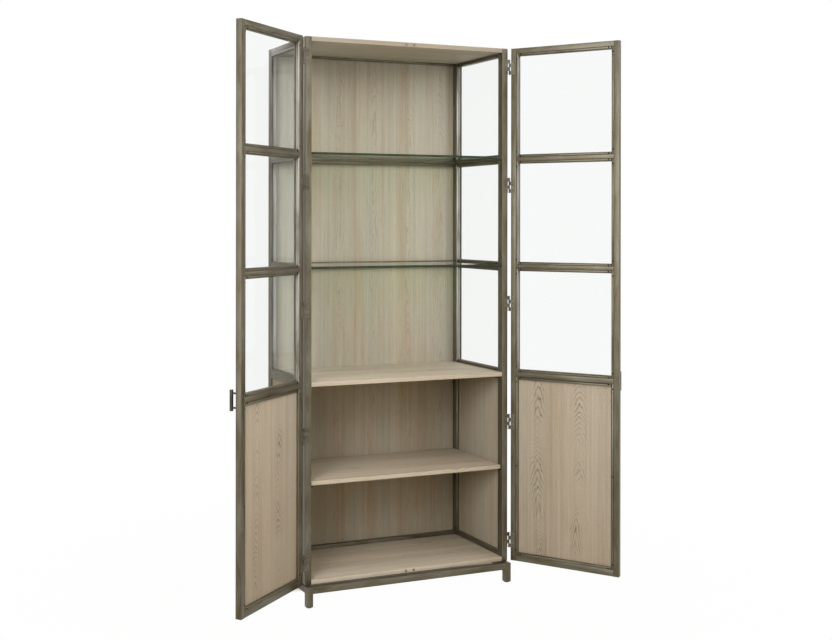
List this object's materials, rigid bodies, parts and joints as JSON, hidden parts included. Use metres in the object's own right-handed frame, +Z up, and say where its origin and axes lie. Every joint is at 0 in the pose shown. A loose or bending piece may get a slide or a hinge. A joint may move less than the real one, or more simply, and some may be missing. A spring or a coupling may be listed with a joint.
{
  "type": "bookcase with glass doors",
  "caption": "Tall steel framed bookcase with hinged glazed doors, glass shelves above a wooden cupboard, on a low leg base.",
  "frame": {"origin": "middle of the front left glide's foot, where it rests on the floor", "axes": "+Z up; the open front faces -Y; +X runs along the front from the left leg to the right leg, seen from the front"},
  "size_m": [1.5637, 0.7626, 2.134],
  "materials": {
    "bronze_steel": "brushed antique bronze lacquer on steel",
    "bead_metal": "brushed antique bronze lacquer on aluminium bar",
    "hinge_steel": "brushed antique bronze lacquer",
    "pin_steel": "drawn wire, darkened",
    "screw_steel": "blackened",
    "handle_metal": "dark bronze, patinated",
    "oak": "weathered light oak veneer, open grain, matt",
    "pane_glass": "clear float glass",
    "shelf_glass": "clear float glass with polished edges",
    "magnet_dark": "dark plated cup magnet",
    "black_plastic": "black moulded plastic",
    "black_rubber": "black rubber strip"
  },
  "bodies": {
    "cabinet": {"front_post_left": "bronze_steel", "front_post_right": "bronze_steel", "rear_post_left": "bronze_steel", "rear_post_right": "bronze_steel", "shelf_pegs": "pin_steel", "panel_screws": "screw_steel", "base_bolts": "screw_steel", "side_rails_left": "bronze_steel", "side_rails_right": "bronze_steel", "side_stops_left": "bronze_steel", "side_stops_right": "bronze_steel", "side_beads_left": "bead_metal", "side_beads_right": "bead_metal", "side_panes_left": "pane_glass", "side_panes_right": "pane_glass", "side_infill_left": "oak", "side_infill_right": "oak", "side_bead_screws": "screw_steel", "rear_rails": "bronze_steel", "back_panel": "oak", "back_panel_screws": "screw_steel", "catch_magnets": "magnet_dark", "bottom_panel": "oak", "fixed_shelf": "oak", "top_panel": "oak", "loose_shelf": "oak", "glass_shelf_lower": "shelf_glass", "glass_shelf_upper": "shelf_glass", "glass_shelf_ledges": "bronze_steel", "base_legs": "bronze_steel", "leg_plugs": "black_plastic", "leg_glides": "black_plastic", "base_rails": "bronze_steel", "base_spacers": "black_rubber", "hinge_fixed_leaves": "hinge_steel", "hinge_fixed_screws": "screw_steel", "hinge_pins": "pin_steel"},
    "left_door": {"left_door_frame": "bronze_steel", "left_door_stops": "bronze_steel", "left_door_beads": "bead_metal", "left_door_bead_screws": "screw_steel", "left_door_panes": "pane_glass", "left_door_infill": "oak", "left_door_hinge_leaves": "hinge_steel", "left_door_hinge_screws": "screw_steel", "left_door_handle": "handle_metal"},
    "right_door": {"right_door_frame": "bronze_steel", "right_door_stops": "bronze_steel", "right_door_beads": "bead_metal", "right_door_bead_screws": "screw_steel", "right_door_panes": "pane_glass", "right_door_infill": "oak", "right_door_hinge_leaves": "hinge_steel", "right_door_hinge_screws": "screw_steel", "right_door_handle": "handle_metal"}
  },
  "joints": [
    {"name": "left_door_hinge", "type": "hinge", "parent": "cabinet", "child": "left_door", "pos_m": [-0.017, 0.01, 1.112], "axis": [0, 0, 1], "range_deg": [-39, 141]},
    {"name": "right_door_hinge", "type": "hinge", "parent": "cabinet", "child": "right_door", "pos_m": [0.874, 0.01, 1.112], "axis": [0, 0, 1], "range_deg": [-126, 54]}
  ]
}
